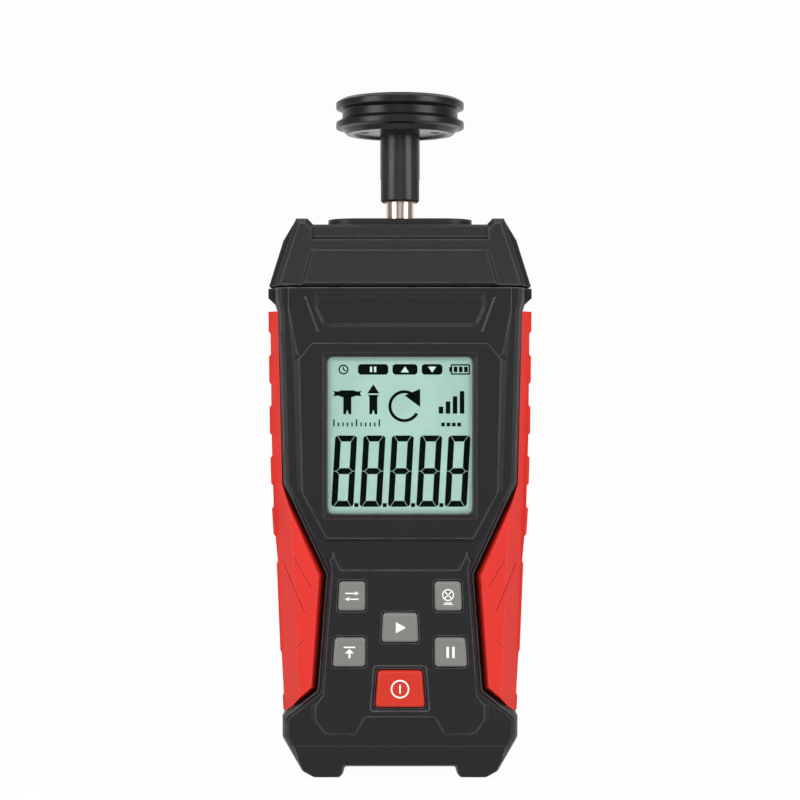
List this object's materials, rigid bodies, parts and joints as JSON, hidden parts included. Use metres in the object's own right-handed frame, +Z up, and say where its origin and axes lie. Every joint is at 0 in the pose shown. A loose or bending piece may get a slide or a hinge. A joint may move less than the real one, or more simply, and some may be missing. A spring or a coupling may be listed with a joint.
{
  "type": "contact tachometer",
  "caption": "Handheld contact tachometer with a display, keys and soft side grips, and a removable head whose spindle carries a grooved measuring wheel.",
  "frame": {"origin": "centre of the bounding box's bottom face, in the plane of the feet and on the wheel's axis", "axes": "+Z up along the wheel's axis, +X to the right of the display, +Y from the display to the back"},
  "size_m": [0.0644, 0.036, 0.1665],
  "materials": {
    "case_plastic": "fine grain",
    "grip_rubber": "satin",
    "clear_plastic": "polished",
    "display_glass": "polished",
    "light_guide": "satin",
    "grey_key": "satin",
    "red_key": "satin",
    "silicone": "matte",
    "connector_rubber": "matte",
    "circuit_board": "solder mask",
    "black_component": "moulded",
    "lens": "polished",
    "laser_brass": "turned",
    "cell_jacket": "satin",
    "plated_contact": "plated",
    "screw_steel": "zinc plated",
    "bearing_steel": "ground",
    "carrier_aluminium": "turned",
    "spindle_steel": "ground and polished",
    "reflector_white": "painted white",
    "wheel_plastic": "polished",
    "tyre_rubber": "smooth"
  },
  "bodies": {
    "case": {"front_housing": "case_plastic", "rear_housing": "case_plastic", "grip_left": "grip_rubber", "grip_right": "grip_rubber", "display_window": "clear_plastic", "lcd_glass": "display_glass", "lcd_backlight": "light_guide", "lcd_frame": "light_guide", "zebra_strips": "connector_rubber", "main_board": "circuit_board", "board_chips": "black_component", "buzzer": "black_component", "board_screws": "screw_steel", "keypad_mat": "silicone", "sensor_board": "circuit_board", "laser_module": "laser_brass", "light_receiver": "lens", "optics_window": "clear_plastic", "battery_cells": "cell_jacket", "contact_leaves": "plated_contact", "contact_plates": "plated_contact", "case_screws": "screw_steel"},
    "battery_door": {"battery_door": "case_plastic"},
    "key_unit": {"key_unit": "grey_key"},
    "key_lamp": {"key_lamp": "grey_key"},
    "key_test": {"key_test": "grey_key"},
    "key_max": {"key_max": "grey_key"},
    "key_hold": {"key_hold": "grey_key"},
    "key_power": {"key_power": "red_key"},
    "head": {"head_front_cover": "case_plastic", "head_rear_cover": "case_plastic", "head_base": "case_plastic", "bearing_carrier": "carrier_aluminium", "bearing_outer_rings": "bearing_steel", "bearing_balls": "bearing_steel", "head_screws": "screw_steel"},
    "spindle": {"spindle": "spindle_steel", "bearing_inner_rings": "bearing_steel", "retaining_ring": "bearing_steel", "drive_pin": "spindle_steel", "reflector_disc": "reflector_white"},
    "wheel": {"wheel_hub": "wheel_plastic", "wheel_tyre": "tyre_rubber"}
  },
  "joints": [
    {"name": "door_hinge", "type": "hinge", "parent": "case", "child": "battery_door", "pos_m": [0, 0.0169, 0.0234], "axis": [-1, 0, 0], "range_deg": [0, 85]},
    {"name": "key_unit_press", "type": "slide", "parent": "case", "child": "key_unit", "axis": [0, 1, 0], "range_m": [0, 0.001], "stiffness_N_per_m": 900, "springref_m": -0.0003},
    {"name": "key_lamp_press", "type": "slide", "parent": "case", "child": "key_lamp", "axis": [0, 1, 0], "range_m": [0, 0.001], "stiffness_N_per_m": 900, "springref_m": -0.0003},
    {"name": "key_test_press", "type": "slide", "parent": "case", "child": "key_test", "axis": [0, 1, 0], "range_m": [0, 0.001], "stiffness_N_per_m": 900, "springref_m": -0.0003},
    {"name": "key_max_press", "type": "slide", "parent": "case", "child": "key_max", "axis": [0, 1, 0], "range_m": [0, 0.001], "stiffness_N_per_m": 900, "springref_m": -0.0003},
    {"name": "key_hold_press", "type": "slide", "parent": "case", "child": "key_hold", "axis": [0, 1, 0], "range_m": [0, 0.001], "stiffness_N_per_m": 900, "springref_m": -0.0003},
    {"name": "key_power_press", "type": "slide", "parent": "case", "child": "key_power", "axis": [0, 1, 0], "range_m": [0, 0.001], "stiffness_N_per_m": 900, "springref_m": -0.0003},
    {"name": "head_lift", "type": "slide", "parent": "case", "child": "head", "axis": [0, 0, 1], "range_m": [0, 0.015]},
    {"name": "spindle_spin", "type": "hinge", "parent": "head", "child": "spindle", "pos_m": [0, 0, 0.1213], "axis": [0, 0, 1], "continuous": true},
    {"name": "wheel_pull", "type": "slide", "parent": "spindle", "child": "wheel", "axis": [0, 0, 1], "range_m": [0, 0.02]}
  ]
}
